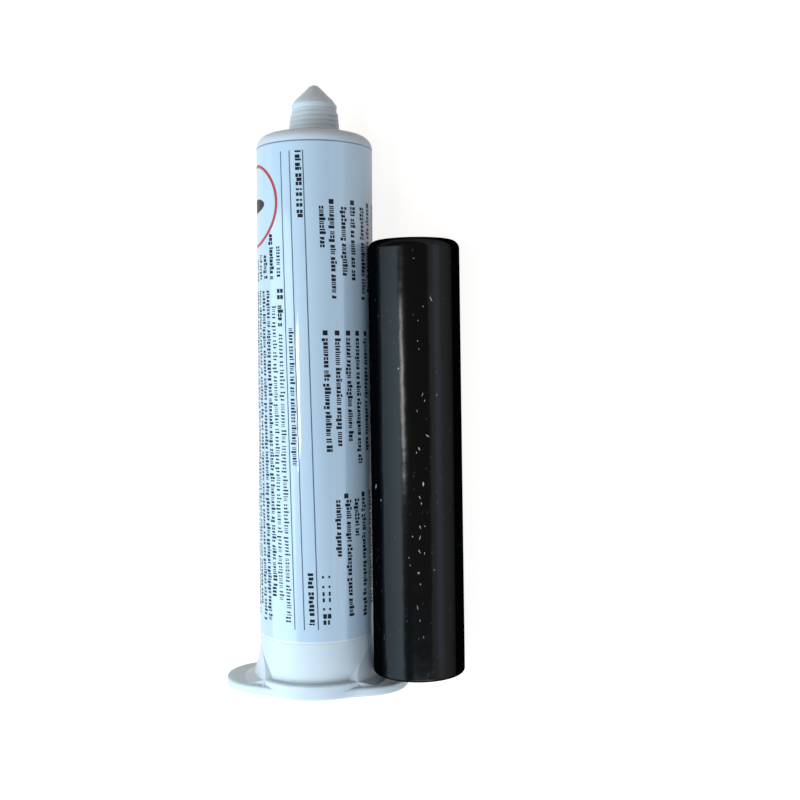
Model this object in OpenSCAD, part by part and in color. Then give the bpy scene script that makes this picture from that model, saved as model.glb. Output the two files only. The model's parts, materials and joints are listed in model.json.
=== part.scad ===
// Gasket sealant tube: a 50 ml barrel with a two-lobed finger flange, its piston and fill,
// and the loose pusher tube that lies beside it. Both tubes lie on the floor plane Z = 0,
// with the nozzle towards +Y. Each round piece is drawn upright about Z and then laid down.

/* [Barrel] */
// Outer diameter of the barrel
barrel_d = 29; // [26:0.5:34]
// Thickness of the barrel wall
barrel_wall = 1.5; // [1:0.1:2]
// Height of the shoulder's top above the flange's rear face
shoulder_z = 138; // [110:1:170]
// Radius of the rounded shoulder
shoulder_r = 3; // [2.2:0.1:5]
// Depth of the slightly wider mouth at the rear
mouth_depth = 20; // [12:1:30]
// How much wider the mouth is than the bore, on the radius
mouth_step = 0.2; // [0.1:0.05:0.5]
// Length of the taper from the mouth to the bore
mouth_taper = 1; // [0.5:0.1:3]
// Width and height of the chamfer at the mouth's edge
mouth_lead = 0.5; // [0.2:0.1:0.8]

/* [Nozzle] */
// Diameter of the threaded neck at the shoulder, below the thread's crests
neck_d = 12.6; // [10:0.1:15]
// Diameter of the neck at the thread's upper end
neck_top_d = 11.3; // [9:0.1:12]
// Height of the threaded neck
neck_h = 6.6; // [5:0.1:10]
// Depth of the groove that ends the thread
groove_depth = 0.25; // [0.1:0.05:0.4]
// Height of the band between the thread and the tip
lead_h = 2.5; // [2.3:0.1:4]
// Height of the chamfer on the band's upper edge
lead_edge = 1.2; // [0.5:0.1:1.4]
// Diameter of the crease where the pointed tip starts
tip_d = 9.8; // [7:0.1:10.4]
// Rounding radius of the point
point_r = 2; // [0.5:0.1:2.4]
// Diameter of the outlet channel inside the neck
outlet_d = 6; // [3:0.1:7]

/* [Flange] */
// Diameter of the thick round collar
collar_d = 32; // [31.4:0.2:38]
// Height of the collar
collar_h = 3.9; // [3.2:0.1:6]
// Radius of each finger lobe
lobe_r = 11.8; // [9:0.1:13]
// Distance from the barrel's axis to the centre of a lobe
lobe_x = 11.4; // [10:0.1:16]
// Thickness of the lobes
lobe_t = 2.4; // [1.8:0.1:3]
// Radius of the hollow corner between a lobe and the collar
corner_r = 20; // [4:0.5:30]
// How far the collar slopes out on a lobe's face
slope_w = 2.5; // [1:0.1:4]
// How far the slope stays inside a lobe's edge
slope_inset = 1.1; // [0.9:0.1:2]
// Rounding radius of the flange's edges
edge_r = 0.7; // [0.3:0.1:0.8]

/* [Swept roots] */
// Height at which the root's sweep leaves the barrel
root_top_z = 13.4; // [9:0.1:20]
// How far the root spreads past the barrel on the lobe
root_spread = 1.9; // [1:0.1:4]
// Radius of the arch that bounds a root, about the flange's rear face
root_arch_r = 11.7; // [6:0.1:12]

/* [Label] */
// Lower edge of the printed film
label_z = 13.6; // [10:0.1:30]
// Length of the film along the barrel
label_len = 121.2; // [60:0.1:140]
// Thickness of the film
label_t = 0.1; // [0.06:0.01:0.15]
// Depth of the panel that holds the film
panel_depth = 0.14; // [0.12:0.01:0.3]
// Width of the butt joint between the film's two ends
seam_w = 0.4; // [0.2:0.1:1]

/* [Piston] */
// Length of the piston
piston_len = 16; // [12:0.5:24]
// Free length of the bore behind the piston
piston_z = 25.2; // [22:0.1:40]
// Thickness of the piston's skirt and crown
piston_wall = 1.8; // [1.2:0.1:2.5]
// Height of each sealing land
land_h = 2.4; // [1.5:0.1:4]
// Depth of the waist between the lands
waist_relief = 0.5; // [0.2:0.1:1]

/* [Pusher] */
// Length of the pusher tube
pusher_len = 106; // [90:1:130]
// Outer diameter at the open end
pusher_d = 22.6; // [20:0.1:24.5]
// Outer diameter at the closed end
pusher_end_d = 22.4; // [19:0.1:24]
// Wall thickness of the pusher
pusher_wall = 1.8; // [1.2:0.1:2.5]
// Rounding radius of the closed end
crown_r = 2.2; // [1:0.1:4]
// Rounding radius of the open rim
rim_r = 0.8; // [0.3:0.1:1]
// How far the open end lies in front of the lobe's face
pusher_back = 2.8; // [0.3:0.1:6]

/* [Fits] */
// Running clearance of the piston in the bore, on the radius
piston_fit = 0.05; // [0.02:0.01:0.1]
// Gap under the film, on the radius
film_gap = 0.02; // [0.01:0.01:0.05]
// Gap between the fill and what holds it
fill_gap = 0.05; // [0.02:0.01:0.2]
// Gap between the pusher and the barrel's side
lay_gap = 0.3; // [0.1:0.05:1]
// Gap left in front of the piston at the end of its stroke
stop_gap = 0.3; // [0.1:0.05:1]

/* [Hidden] */
$fn = 96;
bore_r = barrel_d / 2 - barrel_wall;
mouth_r = bore_r + mouth_step;
barrel_r = barrel_d / 2;
collar_r = collar_d / 2;
straight_z = shoulder_z - shoulder_r;

// How far a cut passes the face that it opens, and how far joined forms overlap
cut_over = 1;

// How far the hollow corner's rim stands out from the rims that it joins
corner_proud = 0.04;

// Inner roof of the barrel, and the corner that the piston's crown matches
roof_z = shoulder_z - barrel_wall;
roof_r = shoulder_r - barrel_wall;

// Nozzle heights: the tip is a 45 degree cone that ends in a small ball
neck_z = shoulder_z + neck_h;
tip_z = neck_z + lead_h;
cone_apex_z = tip_z + tip_d / 2;
ball_z = cone_apex_z - point_r * sqrt(2);
point_z = ball_z + point_r;

// Swept root: an arc round the barrel that starts upright and spreads out on the lobe
root_top_r = barrel_r - panel_depth;
root_foot_r = barrel_r + root_spread;
root_h = root_top_z - lobe_t;
root_arc_r = (pow(root_h, 2) + pow(root_foot_r - root_top_r, 2)) / (2 * (root_foot_r - root_top_r));

// Piston stroke, from the filled barrel to the roof
crown_z = piston_z + piston_len;
piston_stroke = roof_z - crown_z - stop_gap;

// The barrel lies on its collar, one lobe and its shoulder
lie_roll = asin((collar_r - lobe_r) / lobe_x);
lie_tilt = atan((collar_r - barrel_r) / (straight_z - collar_h + edge_r));
axis_h = collar_r * cos(lie_tilt) + (collar_h - edge_r) * sin(lie_tilt);

// The pusher lies on its side along the swept root and the barrel
pusher_r = pusher_d / 2;
pusher_end_r = pusher_end_d / 2;
pusher_draft = atan((pusher_r - pusher_end_r) / pusher_len);
pusher_h = pusher_r * cos(pusher_draft);
pusher_rest_z = lobe_t + pusher_back;
touch_z = min(root_top_z, pusher_rest_z + rim_r);
touch_r = root_top_r + root_arc_r - sqrt(pow(root_arc_r, 2) - pow(root_top_z - touch_z, 2));
open_drop = axis_h - touch_z * sin(lie_tilt) - pusher_h;
open_x = sqrt(pow(touch_r + pusher_r + lay_gap, 2) - pow(open_drop, 2));
far_z = pusher_rest_z + pusher_len;
far_drop = axis_h - far_z * sin(lie_tilt) - pusher_h + pusher_len * sin(pusher_draft);
far_x = sqrt(pow(barrel_r + pusher_end_r + lay_gap, 2) - pow(far_drop, 2));
pusher_skew = atan((open_x - far_x) / pusher_len);

// Centre of the whole object on the floor
min_x = -lobe_x * cos(lie_roll) - lobe_r;
max_x = open_x + pusher_r;
centre_x = (min_x + max_x) / 2;
centre_y = (point_z * cos(lie_tilt) - collar_r * sin(lie_tilt)) / 2;

// Lays a piece of the cartridge down, nozzle towards +Y
module lay_barrel() {
    translate([-centre_x, -centre_y, axis_h])
        rotate([-90 - lie_tilt, 0, 0])
            rotate([0, 0, lie_roll])
                children();
}

// Lays the pusher down, closed end towards +Y
module lay_pusher() {
    translate([open_x - centre_x, pusher_rest_z - centre_y, pusher_h])
        rotate([0, 0, pusher_skew])
            rotate([-90 - pusher_draft, 0, 0])
                children();
}

// Disc with rounded edges that stands on Z = 0
module rounded_disc(r, h, e) {
    rotate_extrude() {
        square([r - e, h]);
        translate([0, e])
            square([r, h - 2 * e]);
        for (z = [e, h - e])
            translate([r - e, z])
                intersection() {
                    circle(e);
                    translate([0, -e])
                        square([e, 2 * e]);
                }
    }
}

// Slope from the collar's upper edge down to the lobes' faces
module collar_slope() {
    rotate_extrude()
        polygon([
            [0, lobe_t / 2], [collar_r + slope_w, lobe_t / 2], [collar_r + slope_w, lobe_t],
            [collar_r - edge_r, collar_h], [0, collar_h]
        ]);
}

// Fills the hollow corner between a lobe and the collar, with a rounded edge
module flange_corner() {
    reach_c = collar_r + corner_r + corner_proud;
    reach_l = lobe_r + corner_r + corner_proud;
    x = (pow(reach_c, 2) - pow(reach_l, 2) + pow(lobe_x, 2)) / (2 * lobe_x);
    y = sqrt(pow(reach_c, 2) - pow(x, 2));
    difference() {
        union() {
            linear_extrude(lobe_t)
                polygon([[0, 0], [lobe_x, 0], [x, y]]);
            intersection() {
                collar_slope();
                linear_extrude(collar_h)
                    polygon([[0, 0], [lobe_x, 0], [x, y]]);
            }
        }
        translate([x, y, 0])
            rotate_extrude() {
                difference() {
                    translate([0, -cut_over])
                        square([corner_r + edge_r, lobe_t + 2 * cut_over]);
                    translate([corner_r, edge_r])
                        square([edge_r + cut_over, lobe_t - 2 * edge_r]);
                    for (z = [edge_r, lobe_t - edge_r])
                        translate([corner_r + edge_r, z])
                            circle(edge_r);
                }
                translate([0, lobe_t])
                    square([corner_r + slope_inset, collar_h]);
            }
    }
}

// Finger flange: a thick collar that slopes out to two lobes, with hollow corners between them
module flange() {
    rounded_disc(collar_r, collar_h, edge_r);
    for (side = [0, 180])
        rotate([0, 0, side]) {
            translate([lobe_x, 0, 0])
                rounded_disc(lobe_r, lobe_t, edge_r);
            intersection() {
                collar_slope();
                translate([lobe_x, 0, 0])
                    cylinder(r = lobe_r - slope_inset, h = collar_h);
            }
            flange_corner();
            mirror([0, 1, 0])
                flange_corner();
        }
}

// Swept root that carries a lobe: the barrel's sweep, bounded by an arch
module swept_root() {
    intersection() {
        rotate_extrude()
            difference() {
                translate([0, lobe_t / 2])
                    square([root_foot_r, root_top_z - lobe_t / 2]);
                translate([root_top_r + root_arc_r, root_top_z])
                    circle(root_arc_r, $fn = 240);
            }
        rotate([0, 90, 0])
            cylinder(r = root_arch_r, h = collar_d);
    }
}

// Outer form of the barrel from the flange to the shoulder
module barrel_outline() {
    square([barrel_r, straight_z]);
    square([barrel_r - shoulder_r, shoulder_z]);
    translate([barrel_r - shoulder_r, straight_z])
        intersection() {
            circle(shoulder_r);
            square(shoulder_r);
        }
}

// Neck below the thread's crests, its end groove, chamfered band and pointed tip
module nozzle_outline() {
    lead_r = neck_top_d / 2;
    point_x = point_r / sqrt(2);
    translate([0, shoulder_z - cut_over])
        square([neck_d / 2, cut_over]);
    polygon([
        [0, shoulder_z], [neck_d / 2, shoulder_z], [lead_r, neck_z],
        [lead_r - groove_depth, neck_z + groove_depth], [lead_r, neck_z + 2 * groove_depth],
        [lead_r, tip_z - lead_edge], [tip_d / 2, tip_z], [point_x, cone_apex_z - point_x], [0, ball_z]
    ]);
    translate([0, ball_z])
        intersection() {
            circle(point_r);
            square(point_r);
        }
}

// Hollow inside: chamfered mouth, bore with a rounded front corner, and the blind outlet channel
module barrel_hollow() {
    polygon([
        [0, -cut_over], [mouth_r + mouth_lead + cut_over, -cut_over], [mouth_r, mouth_lead],
        [mouth_r, mouth_depth], [bore_r, mouth_depth + mouth_taper], [0, mouth_depth + mouth_taper]
    ]);
    translate([0, mouth_depth])
        square([bore_r, roof_z - roof_r - mouth_depth]);
    square([bore_r - roof_r, roof_z]);
    translate([bore_r - roof_r, roof_z - roof_r])
        intersection() {
            circle(roof_r);
            square(roof_r);
        }
    polygon([
        [0, roof_z - cut_over], [outlet_d / 2, roof_z - cut_over], [outlet_d / 2, neck_z],
        [0, neck_z + outlet_d / 2]
    ]);
}

// One moulding: barrel, shoulder, neck, closed tip, flange and swept roots
module barrel() {
    color("whitesmoke")
        lay_barrel()
            difference() {
                union() {
                    rotate_extrude()
                        difference() {
                            union() {
                                barrel_outline();
                                nozzle_outline();
                            }
                            translate([barrel_r - panel_depth, label_z])
                                square([cut_over, label_len]);
                        }
                    flange();
                    for (side = [0, 180])
                        rotate([0, 0, side])
                            swept_root();
                }
                rotate_extrude()
                    barrel_hollow();
            }
}

// Printed film in the barrel's panel, with a butt joint on its underside
module label() {
    film_r = barrel_r - panel_depth + film_gap;
    color("aliceblue")
        lay_barrel()
            difference() {
                rotate_extrude()
                    translate([film_r, label_z + film_gap])
                        square([label_t, label_len - 2 * film_gap]);
                rotate([0, 0, 90 - lie_roll])
                    translate([film_r - cut_over, -seam_w / 2, label_z - cut_over])
                        cube([3 * cut_over, seam_w, label_len + 2 * cut_over]);
            }
}

// Cup piston with two sealing lands and a crown that matches the barrel's roof
module piston() {
    land_r = bore_r - piston_fit;
    waist_r = land_r - waist_relief;
    cup_r = waist_r - piston_wall;
    color("dimgray")
        lay_barrel()
            translate([0, 0, piston_z])
                rotate_extrude()
                    difference() {
                        union() {
                            square([waist_r, piston_len - roof_r]);
                            square([land_r, land_h]);
                            translate([0, piston_len - roof_r - land_h])
                                square([land_r, land_h]);
                            square([land_r - roof_r, piston_len]);
                            translate([land_r - roof_r, piston_len - roof_r])
                                intersection() {
                                    circle(roof_r);
                                    square(roof_r);
                                }
                        }
                        translate([0, -cut_over])
                            square([cup_r, piston_len - piston_wall + cut_over]);
                    }
}

// The fill, from the piston's crown to the end of the outlet channel
module sealant() {
    fill_r = bore_r - fill_gap;
    color("indianred")
        lay_barrel()
            rotate_extrude() {
                translate([0, crown_z + fill_gap])
                    square([fill_r, roof_z - roof_r - crown_z - fill_gap]);
                translate([0, roof_z - roof_r - cut_over])
                    square([fill_r - roof_r, roof_r + cut_over - fill_gap]);
                translate([0, roof_z - cut_over])
                    square([outlet_d / 2 - fill_gap, neck_z - roof_z + cut_over - fill_gap]);
            }
}

// Pusher tube: closed and rounded at its far end, open at the end by the flange
module pusher() {
    inner_r = pusher_r - pusher_wall;
    inner_end_r = pusher_end_r - pusher_wall;
    corner = crown_r / 2;
    color("black")
        lay_pusher()
            rotate_extrude()
                difference() {
                    union() {
                        square([pusher_r - rim_r, pusher_len - crown_r]);
                        polygon([
                            [0, rim_r], [pusher_r, rim_r],
                            [pusher_end_r, pusher_len - crown_r], [0, pusher_len - crown_r]
                        ]);
                        square([pusher_end_r - crown_r, pusher_len]);
                        translate([pusher_end_r - crown_r, pusher_len - crown_r])
                            intersection() {
                                circle(crown_r);
                                square(crown_r);
                            }
                        translate([pusher_r - rim_r, rim_r])
                            intersection() {
                                circle(rim_r);
                                translate([0, -rim_r])
                                    square(rim_r);
                            }
                    }
                    polygon([
                        [0, -cut_over], [inner_r, -cut_over], [inner_r, 0],
                        [inner_end_r, pusher_len - pusher_wall - corner],
                        [inner_end_r - corner, pusher_len - pusher_wall],
                        [0, pusher_len - pusher_wall]
                    ]);
                }
}

barrel();
label();
piston();
sealant();
pusher();
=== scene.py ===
import json
import math
import random

import bmesh
import bpy
import numpy as np
from mathutils import Matrix, Vector


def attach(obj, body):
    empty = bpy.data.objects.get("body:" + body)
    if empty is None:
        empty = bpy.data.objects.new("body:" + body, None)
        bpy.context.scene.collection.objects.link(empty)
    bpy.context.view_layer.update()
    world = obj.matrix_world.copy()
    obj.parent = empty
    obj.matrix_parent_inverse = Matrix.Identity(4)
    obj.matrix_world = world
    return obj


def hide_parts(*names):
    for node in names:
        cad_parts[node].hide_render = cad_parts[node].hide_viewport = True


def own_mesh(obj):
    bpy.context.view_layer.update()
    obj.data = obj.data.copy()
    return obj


# Lengths are in mm and angles in degrees, unless a note says otherwise. On the barrel, angle 0 is the top
# line as it lies and grows towards the pusher, and along counts from the flange's rear face. What a user
# may want to change stands in a dictionary beside the code that uses it.
mm = 0.001

print("scene: frame")
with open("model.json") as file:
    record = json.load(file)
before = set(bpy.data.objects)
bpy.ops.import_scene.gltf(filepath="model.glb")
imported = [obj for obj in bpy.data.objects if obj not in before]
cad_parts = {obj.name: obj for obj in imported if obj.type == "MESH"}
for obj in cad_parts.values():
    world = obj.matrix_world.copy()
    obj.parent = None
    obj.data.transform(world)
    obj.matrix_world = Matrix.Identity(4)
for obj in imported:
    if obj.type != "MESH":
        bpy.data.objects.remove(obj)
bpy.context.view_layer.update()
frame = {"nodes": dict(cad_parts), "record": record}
nodes = frame["nodes"]
record = frame["record"]

mouth = next(m for m in record["mounts"] if m["name"] == "rear_mouth")
axis = -Vector(mouth["axis"]).normalized()
origin = Vector(mouth["pos_m"]) - axis * mouth["dims"]["length_mm"] * mm / 2
upward = (Vector((0, 0, 1)) - axis * axis.z).normalized()
sideways = axis.cross(upward)


def onBarrel(angle, along, radius):
    a = math.radians(angle)
    return origin + axis * along * mm + (sideways * math.sin(a) + upward * math.cos(a)) * radius * mm


def tubeEnds(node, zone=2.5):
    # middle and outer radius of a lying tube at its two ends, in metres
    co = np.array([v.co for v in node.data.vertices])
    ends, radii = [], []
    for y in (co[:, 1].min(), co[:, 1].max()):
        near = co[np.abs(co[:, 1] - y) < zone * mm]
        mid = (near.min(0) + near.max(0)) / 2
        ends.append(Vector((mid[0], y, mid[2])))
        radii.append((near[:, 0].max() - near[:, 0].min()) / 2)
    return ends, radii


(pusherOpen, pusherClosed), pusherRadii = tubeEnds(nodes["pusher"])
pusherAxis = (pusherClosed - pusherOpen).normalized()
pusherUp = (Vector((0, 0, 1)) - pusherAxis * pusherAxis.z).normalized()
pusherSide = pusherAxis.cross(pusherUp)


def onPusher(angle, down, proud):
    # a point on the pusher's draft-angled side, down from its closed end
    a = math.radians(angle)
    middle = pusherClosed - pusherAxis * down * mm
    share = down * mm / (pusherClosed - pusherOpen).length
    radius = pusherRadii[1] + (pusherRadii[0] - pusherRadii[1]) * share + proud * mm
    return middle + (pusherSide * math.sin(a) + pusherUp * math.cos(a)) * radius


def addMesh(name, points, faces, smooth=False):
    mesh = bpy.data.meshes.new(name)
    mesh.from_pydata([tuple(p) for p in points], [], faces)
    bm = bmesh.new()
    bm.from_mesh(mesh)
    bmesh.ops.recalc_face_normals(bm, faces=bm.faces)
    bm.to_mesh(mesh)
    bm.free()
    obj = bpy.data.objects.new(name, mesh)
    bpy.context.scene.collection.objects.link(obj)
    if smooth:
        for p in mesh.polygons:
            p.use_smooth = True
    return obj


print("scene: neck thread")
# the radii are those of the neck at both ends, fadeIn and fadeOut are shares of a turn
thread = {"start": 138.35, "turns": 4.8, "pitch": 1.2, "height": 0.18, "leastHeight": 0.05,
          "baseWidth": 1.08, "crestWidth": 0.72, "foot": 0.25, "radiusLow": 6.26, "radiusHigh": 5.7,
          "fadeIn": 0.25, "fadeOut": 0.4, "stepsPerTurn": 72}


def buildThread():
    turns = thread["turns"]
    steps = int(turns * thread["stepsPerTurn"])
    half, flat, foot = thread["baseWidth"] / 2, thread["crestWidth"] / 2, -thread["foot"]
    points, faces = [], []
    for i in range(steps + 1):
        t = i / steps
        along = thread["start"] + t * turns * thread["pitch"]
        base = thread["radiusLow"] + (thread["radiusHigh"] - thread["radiusLow"]) * t
        grow = min(1, t * turns / thread["fadeIn"], (1 - t) * turns / thread["fadeOut"])
        height = thread["leastHeight"] + thread["height"] * grow
        outline = (-half, foot), (-half, 0), (-flat, height), (flat, height), (half, 0), (half, foot)
        for across, out in outline:
            points.append(onBarrel(t * turns * 360, along + across, base + out))
    for i in range(steps):
        for j in range(6):
            a, b = i * 6 + j, i * 6 + (j + 1) % 6
            faces.append((a, b, b + 6, a + 6))
    faces.append(tuple(range(6)))
    faces.append(tuple(steps * 6 + j for j in range(6)))
    return addMesh("neck_thread", points, faces)


neckThread = buildThread()
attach(neckThread, "cartridge")

paste = {"joint": "piston_slide", "stroke": 95.0, "noseGap": 0.05, "segments": 96, "noseSegments": 48}


def lathe(name, profile, segments):
    # profile is radius and distance along the barrel, first and last point on the axis
    points = [onBarrel(0, profile[0][1], 0), onBarrel(0, profile[-1][1], 0)]
    rings = len(profile) - 2
    for radius, along in profile[1:-1]:
        for k in range(segments):
            points.append(onBarrel(360 * k / segments, along, radius))
    faces = []
    for k in range(segments):
        j = (k + 1) % segments
        faces.append((0, 2 + k, 2 + j))
        faces.append((1, 2 + (rings - 1) * segments + j, 2 + (rings - 1) * segments + k))
        for i in range(rings - 1):
            a, b = 2 + i * segments, 2 + (i + 1) * segments
            faces.append((a + k, b + k, b + j, a + j))
    return addMesh(name, points, faces)


def buildPaste(close=0.1):
    # the solid's own outline, in two pieces: the nose and the body behind it
    co = [(v.co - origin) / mm for v in nodes["sealant"].data.vertices]
    along = np.array([p.dot(axis) for p in co])
    radius = np.array([(p - axis * p.dot(axis)).length for p in co])
    rear, wide, tip = along.min(), radius.max(), along.max()
    slim = radius[along > tip - close].max()
    front = along[radius > slim + 1].max()
    step = along[radius > wide - close / 2].max()
    inner = radius[(along > front - close) & (along < front + close / 10)].max()
    body = lathe("sealant_fill", [(0, rear), (wide, rear), (wide, step), (inner, step), (inner, front),
                                  (0, front)], paste["segments"])
    start = front + paste["noseGap"]
    nose = lathe("sealant_nose", [(0, start), (slim, start), (slim, tip), (0, tip)], paste["noseSegments"])
    return body, nose, rear, front


pasteBody, pasteNose, pasteRear, pasteFront = buildPaste()
for piece in (pasteBody, pasteNose):
    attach(piece, "cartridge")
    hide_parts("sealant")
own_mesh(pasteBody)

print("scene: print on the label")
random.seed(11)

# top and bottom are the ends of the rules, skewPerMm is how far the print leans round the barrel
label = {"radius": 14.48, "top": 132.3, "bottom": 17.0, "skewPerMm": 0.105,
         "inkThickness": 0.014, "inkDepth": 0.01}
ruleLines = {"angles": (-3.6, 5.9, 19.3), "width": 0.26, "parts": 60}
# abstract marks, in parts of the row's height: along from, along to, low, high
marks = [[(0, 0.48, 0, 0.74)], [(0, 0.46, 0, 1.0)], [(0, 0.48, -0.24, 0.74)],
         [(0, 0.5, 0, 0.3), (0.1, 0.5, 0.3, 0.74)], [(0, 0.46, 0, 0.3), (0, 0.46, 0.42, 0.74)],
         [(0, 0.42, 0.2, 0.74), (0, 0.3, 0, 0.2)], [(0, 0.26, 0, 0.9)],
         [(0, 0.2, 0, 0.74), (0.3, 0.5, 0, 0.74)]]
tallMarks = [[(0, 0.5, 0, 1)], [(0, 0.56, 0, 0.45), (0, 0.56, 0.55, 1)], [(0, 0.3, 0, 1)],
             [(0, 0.56, 0, 0.8)], [(0, 0.56, 0.15, 1)]]
# gaps between marks, words and groups: shares of the row's height, for groups of its pitch
spacing = {"markGap": 0.13, "wordGap": 0.32, "groupGap": 0.6, "middle": 0.4, "tail": 0.5,
           "firstWord": (3, 9), "word": (2, 10)}
# rows of greeked print: angle, start and end along the barrel, height of the row, stroke weight
textRows = [
    (45.3, 119.1, 96.4, 1.5, 1.0), (35.3, 119.0, 109.0, 1.5, 1.0), (67.6, 119.2, 100.6, 1.5, 1.0),
    (57.2, 119.0, 101.2, 1.5, 1.0), (92.2, 119.4, 98.5, 1.5, 1.0), (81.6, 119.4, 96.4, 1.5, 1.0),
    (107.2, 119.4, 99.0, 1.5, 1.0), (35.3, 87.4, 59.4, 1.5, 1.0), (46.9, 87.4, 60.4, 1.5, 1.0),
    (58.8, 87.5, 62.0, 1.5, 1.0), (70.4, 87.5, 56.0, 1.5, 1.0), (83.2, 87.5, 59.5, 1.5, 1.0),
    (98.4, 87.6, 61.0, 1.5, 1.0), (53.8, 48.2, 19.1, 1.5, 1.0), (42.9, 48.3, 33.7, 1.5, 1.0),
    (74.3, 48.4, 18.2, 1.5, 1.0), (63.9, 48.3, 38.5, 1.5, 1.0), (88.0, 48.3, 20.5, 1.5, 1.0),
    (1.6, 89.9, 56.2, 1.3, 0.8), (-10.0, 109.7, 101.8, 1.4, 0.8), (-19.3, 112.8, 101.7, 1.5, 1.1),
    (-29.4, 107.9, 101.8, 1.5, 1.0), (-38.8, 108.1, 101.7, 1.3, 0.8), (-47.5, 107.0, 101.7, 1.3, 0.8),
    (-9.8, 95.4, 89.4, 1.6, 1.1), (-9.5, 88.6, 18.0, 1.4, 0.6), (-17.6, 95.4, 23.2, 1.4, 0.6),
    (-25.6, 99.3, 23.9, 1.4, 0.85), (-33.9, 99.2, 17.9, 1.4, 0.85), (-42.2, 99.4, 17.6, 1.4, 0.85),
    (-50.4, 99.3, 21.0, 1.4, 0.85), (-58.6, 99.3, 18.5, 1.4, 0.85), (-66.8, 99.3, 34.0, 1.4, 0.85)]
# rows of taller blocks: angle, start, height, pitch, blocks in each group
figureRows = [(13.9, 132.2, 1.5, 0.98, (5, 3, 2, 2, 2)), (12.9, 30.8, 1.35, 1.0, (4, 6, 2)),
              (27.5, 30.1, 2.0, 1.5, (1, 3, 3)), (-9.8, 99.4, 1.75, 1.5, (2,))]
# square bullets: angle and upper edge
bullets = [
    (45.0, 120.7), (67.8, 120.8), (91.9, 120.8), (107.0, 120.8), (35.1, 89.3), (46.9, 89.3), (58.8, 89.3),
    (70.3, 89.3), (83.0, 89.3), (98.3, 89.4), (51.6, 49.8), (73.8, 49.8), (88.0, 49.8)]
bulletSize = 1.2
redRing = {"angle": -48.0, "along": 120.3, "outer": 10.2, "inner": 9.4,
           "dotRadius": 5.1, "dotSquash": 0.33, "dotRings": 8, "dotGap": 0.01}


class Ink:
    def __init__(self, name):
        self.name, self.points, self.faces = name, [], []

    def bothSides(self, angle, along):
        # one point under the film's surface and one on top of the ink
        for radius in (label["radius"] - label["inkDepth"], label["radius"] + label["inkThickness"]):
            yield onBarrel(angle, along, radius)

    def patch(self, angle, along, width, length, parts=1):
        # a thin block on the round film: width goes round it, length along it, in parts so that it follows
        half = math.degrees(width / 2 / label["radius"])
        first = len(self.points)
        for k in range(parts + 1):
            z = along - length / 2 + length * k / parts
            skew = label["skewPerMm"] * (label["top"] - z)
            left, right = (self.bothSides(angle + side + skew, z) for side in (-half, half))
            for pair in zip(left, right):
                self.points += pair
        for k in range(parts):
            a = first + 4 * k
            b = a + 4
            self.faces += [(a, a + 1, b + 1, b), (a + 2, b + 2, b + 3, a + 3), (a, b, b + 2, a + 2),
                           (a + 1, a + 3, b + 3, b + 1)]
        last = first + 4 * parts
        self.faces += [(first, first + 2, first + 3, first + 1), (last, last + 1, last + 3, last + 2)]

    def stamp(self, mark, angle, along, height, weight=1.0):
        for a, b, low, high in mark:
            middle = math.degrees(((low + high) / 2 - spacing["middle"]) * height / label["radius"])
            self.patch(angle + middle, along - (a + b) / 2 * height, (high - low) * height,
                       (b - a) * height * weight)

    def words(self, angle, start, end, height, weight):
        # greeked text: abstract marks in words, no letter is drawn
        cursor = start
        left = random.randint(*spacing["firstWord"])
        while cursor > end + height * spacing["tail"]:
            mark = random.choice(marks)
            self.stamp(mark, angle, cursor, height, weight)
            cursor -= (max(m[1] for m in mark) + spacing["markGap"]) * height
            left -= 1
            if left == 0:
                left = random.randint(*spacing["word"])
                cursor -= height * spacing["wordGap"]

    def figures(self, angle, start, height, pitch, groups):
        cursor = start
        for count in groups:
            for _ in range(count):
                self.stamp(random.choice(tallMarks), angle, cursor, height)
                cursor -= pitch
            cursor -= pitch * spacing["groupGap"]

    def ring(self, angle, along, outer, inner, squash=1.0, steps=96):
        first = len(self.points)
        for k in range(steps):
            turn = 2 * math.pi * k / steps
            for size in (inner, outer):
                a = angle + math.degrees(size * math.sin(turn) / label["radius"])
                self.points += self.bothSides(a, along + size * math.cos(turn) * squash)
        for k in range(steps):
            a = first + 4 * k
            b = first + 4 * ((k + 1) % steps)
            self.faces += [(a, b, b + 1, a + 1), (a + 2, a + 3, b + 3, b + 2), (a, a + 2, b + 2, b),
                           (a + 1, b + 1, b + 3, a + 3)]

    def build(self):
        obj = addMesh(self.name, self.points, self.faces)
        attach(obj, "cartridge")
        return obj


rules = Ink("label_rules")
for angle in ruleLines["angles"]:
    rules.patch(angle, (label["top"] + label["bottom"]) / 2, ruleLines["width"],
                label["top"] - label["bottom"], ruleLines["parts"])
labelRules = rules.build()

text = Ink("label_text")
for row in textRows:
    text.words(*row)
for row in figureRows:
    text.figures(*row)
for angle, along in bullets:
    text.patch(angle, along - bulletSize / 2, bulletSize, bulletSize)
dotStep = redRing["dotRadius"] / redRing["dotRings"]
for k in range(redRing["dotRings"]):
    text.ring(redRing["angle"], redRing["along"], dotStep * (k + 1), dotStep * k + redRing["dotGap"],
              redRing["dotSquash"])
labelText = text.build()

ring = Ink("label_ring")
ring.ring(redRing["angle"], redRing["along"], redRing["outer"], redRing["inner"])
labelRing = ring.build()

print("scene: scuffs on the pusher")
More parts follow.
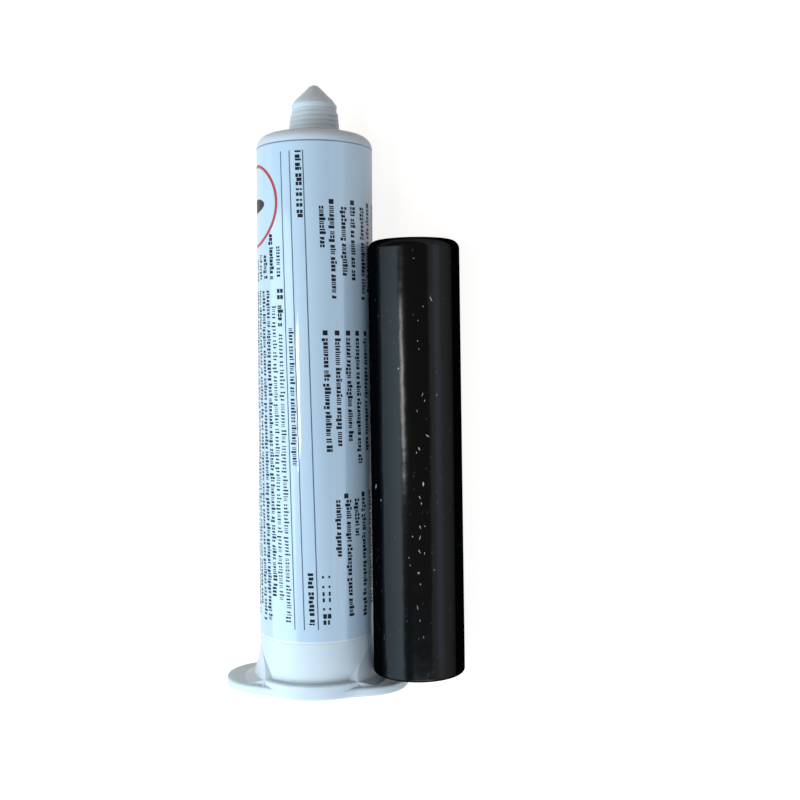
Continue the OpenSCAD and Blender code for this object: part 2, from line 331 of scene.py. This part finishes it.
# rows: angle from the pusher's top line, distance from the closed end, length, width, turn
# pale flakes on the pusher's near side: real scuffs, with a painted glint in their pale grey
scuffsAndGlints = {"lengthShare": 0.85, "widthShare": 0.7, "proud": 0.02, "rows": [
    (46.0, 14.9, 1.5, 0.45, 30), (36.0, 16.6, 0.5, 0.3, 0), (25.4, 5.3, 0.5, 0.25, 60),
    (29.6, 19.9, 0.4, 0.25, 0), (28.8, 24.7, 0.6, 0.3, 10), (30.0, 26.6, 0.5, 0.25, 0),
    (4.6, 31.1, 0.5, 0.45, 0), (9.6, 30.8, 0.6, 0.2, 20), (33.6, 37.3, 1.1, 0.25, -25),
    (36.2, 38.8, 0.8, 0.25, -20), (51.9, 37.5, 0.5, 0.3, 0), (27.0, 41.2, 0.8, 0.2, 15),
    (39.3, 47.1, 1.3, 0.4, 55), (28.7, 50.1, 1.0, 0.4, 30), (25.5, 51.0, 0.6, 0.25, 0),
    (-36.0, 59.6, 1.5, 0.5, -20), (-25.0, 62.7, 0.6, 0.3, 0), (33.2, 58.5, 1.4, 0.5, 5),
    (28.7, 61.6, 1.0, 0.25, 25), (30.6, 63.1, 0.8, 0.3, 0), (28.7, 68.7, 1.1, 0.3, 20),
    (34.2, 68.5, 0.6, 0.3, 50), (28.3, 71.2, 1.3, 0.25, -15), (19.3, 70.9, 0.5, 0.3, 0),
    (27.4, 74.5, 1.2, 0.3, 25), (33.5, 75.0, 0.8, 0.2, 0), (26.1, 79.6, 0.7, 0.6, 0),
    (28.0, 82.3, 0.5, 0.4, 0), (14.8, 76.0, 0.6, 0.2, 30), (16.0, 77.8, 0.5, 0.2, 0),
    (45.5, 79.0, 0.4, 0.3, 0), (24.2, 87.9, 1.6, 0.2, 10), (27.0, 91.0, 0.8, 0.2, -20),
    (31.0, 95.0, 0.7, 0.2, 10)]}


def buildScuffsAndGlints():
    # each scuff is a thin six-sided flake, pointed at its ends; its pale grey is partly the real mark and
    # partly a painted glint
    outline = ((-0.5, 0), (-0.25, 0.5), (0.2, 0.42), (0.5, 0), (0.22, -0.5), (-0.3, -0.38))
    points, faces = [], []
    for angle, down, length, width, turn in scuffsAndGlints["rows"]:
        first = len(points)
        c, d = math.cos(math.radians(turn)), math.sin(math.radians(turn))
        for proud in (-scuffsAndGlints["proud"], scuffsAndGlints["proud"]):
            for u, v in outline:
                u, v = u * length * scuffsAndGlints["lengthShare"], v * width * scuffsAndGlints["widthShare"]
                around = math.degrees((u * d + v * c) * mm / pusherRadii[0])
                points.append(onPusher(angle + around, down + u * c - v * d, proud))
        faces.append(tuple(first + k for k in range(6)))
        faces.append(tuple(first + 6 + k for k in range(6)))
        for k in range(6):
            j = (k + 1) % 6
            faces.append((first + k, first + j, first + 6 + j, first + 6 + k))
    return addMesh("pusher_scuffs_and_glints", points, faces)


pusherScuffsAndGlints = buildScuffsAndGlints()
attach(pusherScuffsAndGlints, "cartridge")

print("scene: materials")


def newMaterial(name):
    mat = bpy.data.materials.new(name)
    mat.use_nodes = True
    tree = mat.node_tree
    return mat, tree, tree.nodes["Principled BSDF"]


def addGroup(name, inputs, outputs):
    group = bpy.data.node_groups.new(name, "ShaderNodeTree")
    for title, kind, value in inputs:
        s = group.interface.new_socket(name=title, in_out="INPUT", socket_type="NodeSocket" + kind)
        s.default_value = value
    for title, kind in outputs:
        group.interface.new_socket(name=title, in_out="OUTPUT", socket_type="NodeSocket" + kind)
    return group, group.nodes.new("NodeGroupInput").outputs, group.nodes.new("NodeGroupOutput").inputs


def useGroup(tree, group, **values):
    node = tree.nodes.new("ShaderNodeGroup")
    node.node_tree = group
    for key, value in values.items():
        node.inputs[key].default_value = value
    return node.outputs


def feed(tree, socket, value):
    # value is a socket to link, or what the socket is set to
    if isinstance(value, bpy.types.NodeSocket):
        tree.links.new(value, socket)
    else:
        socket.default_value = value


def calc(tree, operation, *values, clamp=False):
    node = tree.nodes.new("ShaderNodeMath")
    node.operation = operation
    node.use_clamp = clamp
    for socket, value in zip(node.inputs, values):
        feed(tree, socket, value)
    return node.outputs[0]


def texture(tree, kind, place, **values):
    node = tree.nodes.new("ShaderNodeTex" + kind)
    tree.links.new(place, node.inputs["Vector"])
    for key, value in values.items():
        feed(tree, node.inputs[key], value)
    return node.outputs


def objectPlace(tree):
    return tree.nodes.new("ShaderNodeTexCoord").outputs["Object"]


# distance is in metres, scales are for coordinates in metres
mould = {"slowScale": 55, "slowDetail": 4, "fineScale": 900, "fineDetail": 3, "bumpDistance": 0.0004}


def buildMoulding():
    # fine moulding: slow colour drift, roughness drift and a very shallow surface wave
    group, gin, gout = addGroup(
        "moulding", [("Colour", "Color", (0.8, 0.8, 0.8, 1)), ("Drift", "Float", 0.04), ("Wave", "Float", 0.02),
                     ("Grain", "Float", 0.25), ("Roughness", "Float", 0.4)],
        [("Colour", "Color"), ("Roughness", "Float"), ("Normal", "Vector")])
    place = objectPlace(group)
    slow = texture(group, "Noise", place, Scale=mould["slowScale"], Detail=mould["slowDetail"])["Fac"]
    fine = texture(group, "Noise", place, Scale=mould["fineScale"], Detail=mould["fineDetail"])["Fac"]
    change = calc(group, "MULTIPLY", calc(group, "SUBTRACT", slow, 0.5), gin["Drift"])
    gain = calc(group, "ADD", change, 1)
    tint = group.nodes.new("ShaderNodeVectorMath")
    tint.operation = "SCALE"
    group.links.new(gin["Colour"], tint.inputs[0])
    group.links.new(gain, tint.inputs["Scale"])
    bump = group.nodes.new("ShaderNodeBump")
    bump.inputs["Distance"].default_value = mould["bumpDistance"]
    group.links.new(calc(group, "MULTIPLY_ADD", fine, gin["Grain"], slow), bump.inputs["Height"])
    group.links.new(gin["Wave"], bump.inputs["Strength"])
    group.links.new(tint.outputs[0], gout["Colour"])
    group.links.new(calc(group, "MULTIPLY", gin["Roughness"], gain), gout["Roughness"])
    group.links.new(bump.outputs[0], gout["Normal"])
    return group


moulding = buildMoulding()


def mouldedMaterial(name, look):
    mat, tree, shader = newMaterial(name)
    g = useGroup(tree, moulding, Colour=(*look["colour"], 1), Roughness=look["roughness"],
                 Drift=look.get("drift", 0.04), Wave=look.get("wave", 0.02), Grain=look.get("grain", 0.25))
    for out, into in (("Colour", "Base Color"), ("Roughness", "Roughness"), ("Normal", "Normal")):
        tree.links.new(g[out], shader.inputs[into])
    if "specular" in look:
        shader.inputs["Specular IOR Level"].default_value = look["specular"]
    return mat, tree, shader


def alongBarrel(tree):
    # distance from the flange's rear face, as a value for the shaders
    dot = tree.nodes.new("ShaderNodeVectorMath")
    dot.operation = "DOT_PRODUCT"
    dot.inputs[1].default_value = axis / mm
    tree.links.new(objectPlace(tree), dot.inputs[0])
    return calc(tree, "SUBTRACT", dot.outputs["Value"], origin.dot(axis) / mm)


def band(tree, value, low, high):
    # 1 between low and high, else 0
    return calc(tree, "MULTIPLY", calc(tree, "GREATER_THAN", value, low), calc(tree, "LESS_THAN", value, high))


def mixInto(tree, shader, mask, colour):
    # puts colour over what feeds the base colour, where mask is 1
    mix = tree.nodes.new("ShaderNodeMix")
    mix.data_type = "RGBA"
    old = shader.inputs["Base Color"].links[0].from_socket
    tree.links.new(mask, mix.inputs[0])
    tree.links.new(old, mix.inputs[6])
    mix.inputs[7].default_value = (*colour, 1)
    tree.links.new(mix.outputs[2], shader.inputs["Base Color"])


def dullAtEdge(tree, socket, flat, fall):
    # less shine where the surface is seen at a flat angle
    facing = tree.nodes.new("ShaderNodeLayerWeight").outputs["Facing"]
    tree.links.new(calc(tree, "MULTIPLY_ADD", facing, fall, flat, clamp=True), socket)


cloud = {"scale": 70, "detail": 2}


def buildSpecks():
    # small spots in loose clusters, for dust, chips and fine dirt
    group, gin, gout = addGroup(
        "specks", [("Scale", "Float", 600.0), ("Size", "Float", 0.18), ("Cover", "Float", 0.6),
                   ("Stretch", "Vector", (1, 1, 1))], [("Mask", "Float")])
    place = objectPlace(group)
    stretch = group.nodes.new("ShaderNodeVectorMath")
    stretch.operation = "MULTIPLY"
    group.links.new(place, stretch.inputs[0])
    group.links.new(gin["Stretch"], stretch.inputs[1])
    cells = texture(group, "Voronoi", stretch.outputs[0], Scale=gin["Scale"])
    clusters = texture(group, "Noise", place, Scale=cloud["scale"], Detail=cloud["detail"])["Fac"]
    chance = group.nodes.new("ShaderNodeSeparateColor")
    group.links.new(cells["Color"], chance.inputs[0])
    inside = calc(group, "LESS_THAN", cells["Distance"], gin["Size"])
    lucky = calc(group, "GREATER_THAN", calc(group, "MULTIPLY", chance.outputs[0], clusters), gin["Cover"])
    group.links.new(calc(group, "MULTIPLY", inside, lucky), gout["Mask"])
    return group


specks = buildSpecks()


def addSpecks(tree, shader, colour, **values):
    mixInto(tree, shader, useGroup(tree, specks, **values)["Mask"], colour)


white = {"colour": (0.76, 0.81, 0.84), "roughness": 0.42, "scatter": 0.3, "scatterRadius": (1, 1.1, 1.2),
         "scatterScale": 0.0015, "dirt": (0.35, 0.33, 0.3)}
whitePlastic, tree, shader = mouldedMaterial("white_plastic", white)
shader.inputs["Subsurface Weight"].default_value = white["scatter"]
shader.inputs["Subsurface Radius"].default_value = white["scatterRadius"]
shader.inputs["Subsurface Scale"].default_value = white["scatterScale"]
addSpecks(tree, shader, white["dirt"], Scale=700, Size=0.16, Cover=0.62)

# topShadow and lowHighlight are where along the barrel a painted shadow line at the film's top edge and a
# painted highlight line at its bottom edge lie
film = {"colour": (0.6, 0.726, 0.833), "roughness": 0.35, "drift": 0.05, "wave": 0.3, "grain": 0.02,
        "specular": 0.25, "coatFlat": 1.4, "coatFall": -1.5, "coatRoughness": 0.05,
        "topShadow": (134.45, 136), "topShadowColour": (0.2, 0.27, 0.36),
        "lowHighlight": (12, 14.0), "lowHighlightColour": (0.9, 0.93, 0.95)}
filmMaterial, tree, shader = mouldedMaterial("label_film", film)
dullAtEdge(tree, shader.inputs["Coat Weight"], film["coatFlat"], film["coatFall"])
shader.inputs["Coat Roughness"].default_value = film["coatRoughness"]
where = alongBarrel(tree)
# painted shadow: a dark line along the film's top edge, where the gap to the shoulder lies in shade
mixInto(tree, shader, band(tree, where, *film["topShadow"]), film["topShadowColour"])
# painted highlight: a pale line along the film's bottom edge, where the edge catches the light
mixInto(tree, shader, band(tree, where, *film["lowHighlight"]), film["lowHighlightColour"])

ink = {"colour": (0.012, 0.014, 0.02), "roughness": 0.4, "drift": 0.3, "specular": 0.15}
ruleInk = {"colour": (0.06, 0.1, 0.17), "roughness": 0.4, "drift": 0.2}
redInk = {"colour": (0.5, 0.03, 0.04), "roughness": 0.4, "drift": 0.1}
inkMaterial = mouldedMaterial("label_ink", ink)[0]
ruleMaterial = mouldedMaterial("label_rule_ink", ruleInk)[0]
redMaterial = mouldedMaterial("label_red_ink", redInk)[0]

black = {"colour": (0.0012, 0.0015, 0.002), "roughness": 0.17, "drift": 0.25, "wave": 0.8, "grain": 0.008,
         "dust": (0.03, 0.032, 0.035), "shineFlat": 0.29, "shineFall": -0.66}
blackPlastic, tree, shader = mouldedMaterial("black_plastic", black)
addSpecks(tree, shader, black["dust"], Scale=1100, Size=0.18, Cover=0.4, Stretch=(1, 0.5, 1))
dullAtEdge(tree, shader.inputs["Specular IOR Level"], black["shineFlat"], black["shineFall"])
# pale grey of the flakes: the scuffs' own colour with a painted glint in it
scuffAndGlint = {"colour": (0.42, 0.44, 0.45), "roughness": 0.6, "drift": 1.5}
scuffAndGlintMaterial = mouldedMaterial("pusher_scuff_and_glint", scuffAndGlint)[0]

pistonLook = {"colour": (0.45, 0.45, 0.43), "roughness": 0.5}
pistonPlastic = mouldedMaterial("piston_plastic", pistonLook)[0]
pasteLook = {"colour": (0.45, 0.06, 0.04), "roughness": 0.3, "drift": 0.2, "wave": 0.3}
sealantPaste = mouldedMaterial("sealant_paste", pasteLook)[0]

for name, mat in (("barrel", whitePlastic), ("label", filmMaterial), ("piston", pistonPlastic),
                  ("sealant", sealantPaste), ("pusher", blackPlastic)):
    if nodes[name].material_slots:
        for slot in nodes[name].material_slots:
            slot.material = mat
    else:
        nodes[name].data.materials.append(mat)
for piece, mat in ((neckThread, whitePlastic), (pusherScuffsAndGlints, scuffAndGlintMaterial), (pasteBody, sealantPaste),
                   (pasteNose, sealantPaste), (labelText, inkMaterial), (labelRules, ruleMaterial),
                   (labelRing, redMaterial)):
    piece.data.materials.append(mat)

print("scene: stage, light and camera")
# in metres: radius of the flat floor, radius of its bend and height of the wall above it
stage = {"flat": 1.3, "bend": 0.5, "wall": 0.5, "flatRings": 6, "bendRings": 12, "around": 72,
         "colour": (0.38, 0.32, 0.27), "roughness": 0.9, "glow": 0.88}


def buildStage():
    # a round floor that bends up into a low wall, so that every view has a plain background
    flat, bend, around = stage["flat"], stage["bend"], stage["around"]
    profile = [(flat * k / stage["flatRings"], 0) for k in range(1, stage["flatRings"] + 1)]
    for k in range(1, stage["bendRings"] + 1):
        a = math.radians(90 * k / stage["bendRings"])
        profile.append((flat + bend * math.sin(a), bend * (1 - math.cos(a))))
    profile.append((flat + bend, bend + stage["wall"]))
    points, faces = [(0, 0, 0)], []
    for r, z in profile:
        for k in range(around):
            a = 2 * math.pi * k / around
            points.append((r * math.cos(a), r * math.sin(a), z))
    for k in range(around):
        faces.append((0, 1 + k, 1 + (k + 1) % around))
    for i in range(len(profile) - 1):
        for k in range(around):
            a, b = 1 + i * around + k, 1 + i * around + (k + 1) % around
            faces.append((a, a + around, b + around, b))
    return addMesh("floor", points, faces, True)


floor = buildStage()
floorMat, tree, shader = newMaterial("floor")
shader.inputs["Base Color"].default_value = (*stage["colour"], 1)
shader.inputs["Roughness"].default_value = stage["roughness"]
shader.inputs["Specular IOR Level"].default_value = 0
shader.inputs["Emission Color"].default_value = (1, 1, 1, 1)
# white for the camera, in reflections and through clear things, while the floor keeps the shadow
rays = tree.nodes.new("ShaderNodeLightPath").outputs
seen = calc(tree, "ADD", rays["Is Camera Ray"], rays["Is Glossy Ray"])
seen = calc(tree, "ADD", seen, rays["Is Transmission Ray"], clamp=True)
tree.links.new(calc(tree, "MULTIPLY", seen, stage["glow"]), shader.inputs["Emission Strength"])
floor.data.materials.append(floorMat)


def areaLight(name, place, target, size, radiance, colour, spin=0):
    data = bpy.data.lights.new(name, "AREA")
    data.shape = "RECTANGLE"
    data.size, data.size_y = size
    data.energy = radiance * size[0] * size[1] * math.pi
    data.color = colour
    obj = bpy.data.objects.new(name, data)
    bpy.context.scene.collection.objects.link(obj)
    back = (Vector(place) - Vector(target)).normalized()
    right = Vector((0, 1, 0)).cross(back).normalized()
    turned = Matrix((right, back.cross(right), back)).transposed().to_4x4()
    obj.matrix_world = Matrix.Translation(place) @ turned @ Matrix.Rotation(math.radians(spin), 4, "Z")


# places and sizes in metres: a wide cool window panel on the left, a soft panel from behind the flange, a
# faint panel low on the right, and a short strip that draws the streak on the film
lights = {
    "key": {"place": (-0.47, -0.22, 0.58), "target": (0, -0.02, 0.01), "size": (0.8, 0.8),
            "radiance": 3.5, "colour": (0.62, 0.84, 1.0)},
    "soft": {"place": (0.32, -0.5, 0.47), "target": (0, 0, 0.01), "size": (0.6, 0.5),
             "radiance": 3.45, "colour": (0.64, 0.82, 0.98)},
    "side": {"place": (0.62, 0, 0.08), "target": (0, 0, 0.01), "size": (0.2, 0.5),
             "radiance": 1.2, "colour": (0.45, 0.7, 1.0)},
    "strip": {"place": (-0.055, -0.011, 0.6), "target": (-0.004, -0.002, 0.03), "size": (0.07, 0.11),
              "radiance": 18, "colour": (0.95, 0.98, 1.0), "spin": 21}}
for name, values in lights.items():
    areaLight(name, **values)

studio = {"colour": (1.0, 0.88, 0.76), "strength": 0.2}
world = bpy.data.worlds.new("studio")
bpy.context.scene.world = world
world.use_nodes = True
world.node_tree.nodes["Background"].inputs["Color"].default_value = (*studio["colour"], 1)
world.node_tree.nodes["Background"].inputs["Strength"].default_value = studio["strength"]

camera = {"place": (132.02, 7.83, 251.18), "turn": 26.18, "pitch": -2.378, "roll": -0.527,
          "lens": 48.61, "sensor": 36}
data = bpy.data.cameras.new("camera")
data.lens = camera["lens"]
data.sensor_width = camera["sensor"]
cam = bpy.data.objects.new("camera", data)
bpy.context.scene.collection.objects.link(cam)
cam.matrix_world = (Matrix.Translation(Vector(camera["place"]) * mm)
                    @ Matrix.Rotation(math.radians(camera["turn"]), 4, "Y")
                    @ Matrix.Rotation(math.radians(camera["pitch"]), 4, "X")
                    @ Matrix.Rotation(math.radians(camera["roll"]), 4, "Z"))
bpy.context.scene.camera = cam
bpy.context.scene.view_settings.view_transform = "Standard"
bpy.context.scene.render.resolution_x = 800
bpy.context.scene.render.resolution_y = 800
